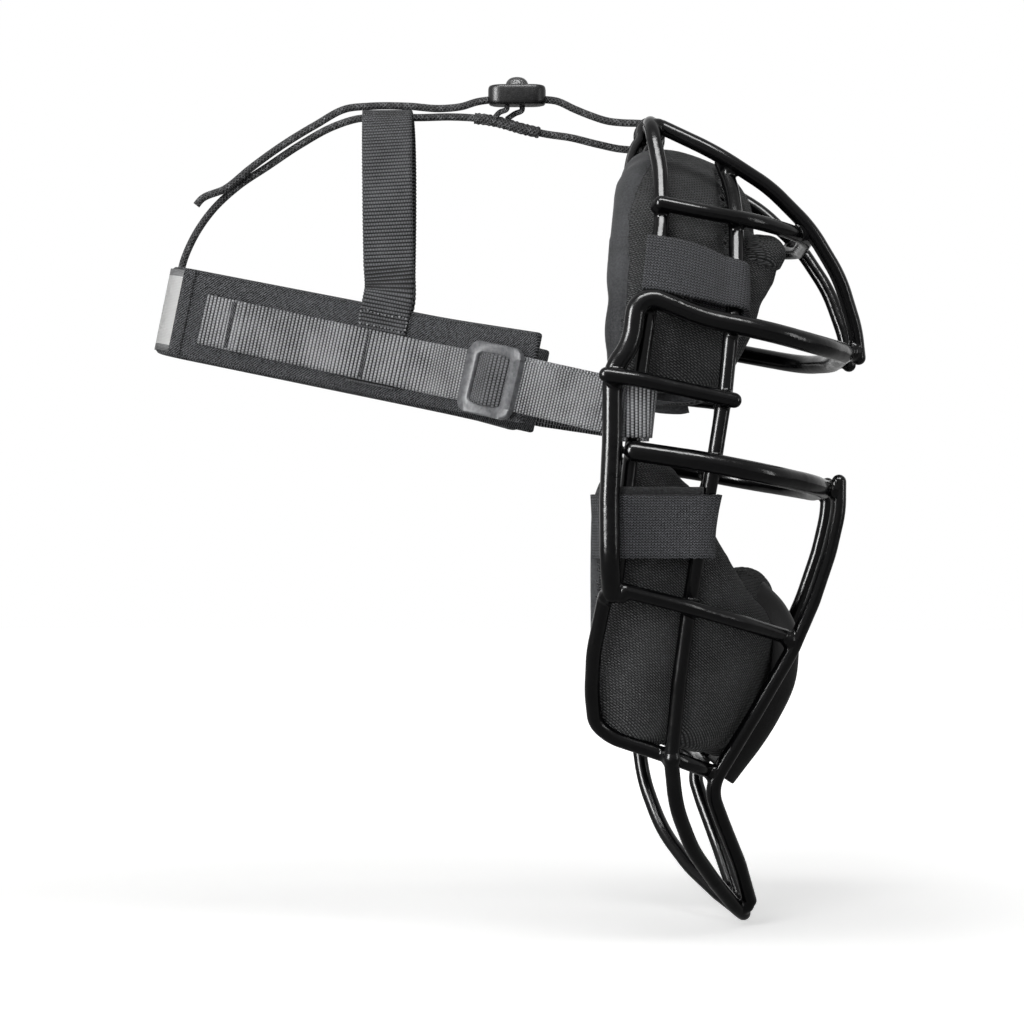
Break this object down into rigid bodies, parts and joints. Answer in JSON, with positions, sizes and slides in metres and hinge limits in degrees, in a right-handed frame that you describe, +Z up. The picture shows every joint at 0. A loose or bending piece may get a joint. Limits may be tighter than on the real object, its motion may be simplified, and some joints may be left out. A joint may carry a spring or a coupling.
{
  "type": "umpire mask",
  "caption": "Welded rod umpire face mask with knit face pads, throat guard and an adjustable webbing and elastic cord harness.",
  "frame": {"origin": "middle of the wearer's head, in the mask's middle plane, level with the loops where the harness holds the cage", "axes": "+X forward out of the mask, +Y to the wearer's left, +Z up; the throat guard points down"},
  "size_m": [0.2819, 0.204, 0.3366],
  "materials": {
    "coated_rod": "gloss black coating over steel rod",
    "knit_mesh": "charcoal knit mesh",
    "black_vinyl": "smooth black vinyl with a stitched edge",
    "strap_fabric": "grey black hook and loop strap",
    "loop_fabric": "fuzzy loop fabric",
    "band_fabric": "twill covered foam band",
    "bare_label": "bare woven patch",
    "webbing": "ribbed charcoal webbing",
    "slider_metal": "satin dark grey",
    "elastic_cord": "braided black cord with pale flecks",
    "lock_plastic": "moulded black",
    "spring_steel": "bright wire"
  },
  "bodies": {
    "cage": {"visor_side_rod": "coated_rod", "face_frame_rod": "coated_rod", "jaw_rod": "coated_rod", "lower_ring_rod": "coated_rod", "upper_cross_rod": "coated_rod", "ear_bar_left": "coated_rod", "ear_bar_right": "coated_rod", "visor_centre_rod_left": "coated_rod", "visor_centre_rod_right": "coated_rod", "side_rod_left": "coated_rod", "side_rod_right": "coated_rod", "lower_cross_rod_left": "coated_rod", "lower_cross_rod_right": "coated_rod", "jaw_centre_rod_left": "coated_rod", "jaw_centre_rod_right": "coated_rod", "throat_loop_rod": "coated_rod", "upper_pad": "knit_mesh", "lower_pad": "knit_mesh", "chin_flap": "black_vinyl", "upper_fold_left": "strap_fabric", "upper_fold_right": "strap_fabric", "upper_patch_left": "loop_fabric", "upper_patch_right": "loop_fabric", "lower_wrap_left": "strap_fabric", "lower_wrap_right": "strap_fabric", "hitch_upper": "elastic_cord", "hitch_lower": "elastic_cord"},
    "harness": {"back_band": "band_fabric", "label_patch": "bare_label", "webbing_left": "webbing", "webbing_right": "webbing", "return_left": "webbing", "return_right": "webbing", "crown_strap": "webbing", "crown_keeper": "webbing", "upper_cord_rear": "elastic_cord", "upper_cord_front": "elastic_cord", "lower_cord_rear": "elastic_cord", "lower_cord_front": "elastic_cord", "cord_knot": "elastic_cord", "tie_cord_left": "elastic_cord", "tie_cord_right": "elastic_cord"},
    "slider_left_run": {"slider_left": "slider_metal", "weave_left": "webbing"},
    "slider_right_run": {"slider_right": "slider_metal", "weave_right": "webbing"},
    "cord_lock": {"cord_lock_body": "lock_plastic", "lock_spring": "spring_steel"},
    "button": {"lock_button": "lock_plastic"},
    "flap_left": {"upper_flap_left": "strap_fabric"},
    "flap_right": {"upper_flap_right": "strap_fabric"}
  },
  "joints": [
    {"name": "harness_tilt", "type": "hinge", "parent": "cage", "child": "harness", "pos_m": [0.0975, 0, -0.0012], "axis": [0, 1, 0], "range_deg": [-9, 9], "deforming": ["upper_cord_front", "lower_cord_front"]},
    {"name": "slider_left_slide", "type": "slide", "parent": "harness", "child": "slider_left_run", "axis": [0.762, 0.6175, -0.1951], "range_m": [0, 0.015]},
    {"name": "slider_right_slide", "type": "slide", "parent": "harness", "child": "slider_right_run", "axis": [0.762, -0.6175, -0.1951], "range_m": [0, 0.015]},
    {"name": "lock_slide", "type": "slide", "parent": "harness", "child": "cord_lock", "axis": [1, 0, 0], "range_m": [-0.003, 0.003], "deforming": ["tie_cord_left", "tie_cord_right"]},
    {"name": "button_press", "type": "slide", "parent": "cord_lock", "child": "button", "axis": [0, 0, -1], "range_m": [0, 0.0012], "stiffness_N_per_m": 1500, "springref_m": -0.001, "deforming": ["lock_spring"]},
    {"name": "flap_right_peel", "type": "hinge", "parent": "cage", "child": "flap_right", "pos_m": [0.1352, -0.0715, 0.046], "axis": [0.02, 0.4391, 0.8982], "range_deg": [0, 70]},
    {"name": "flap_left_peel", "type": "hinge", "parent": "cage", "child": "flap_left", "pos_m": [0.1352, 0.0715, 0.046], "axis": [-0.02, 0.4391, -0.8982], "range_deg": [0, 70]}
  ]
}
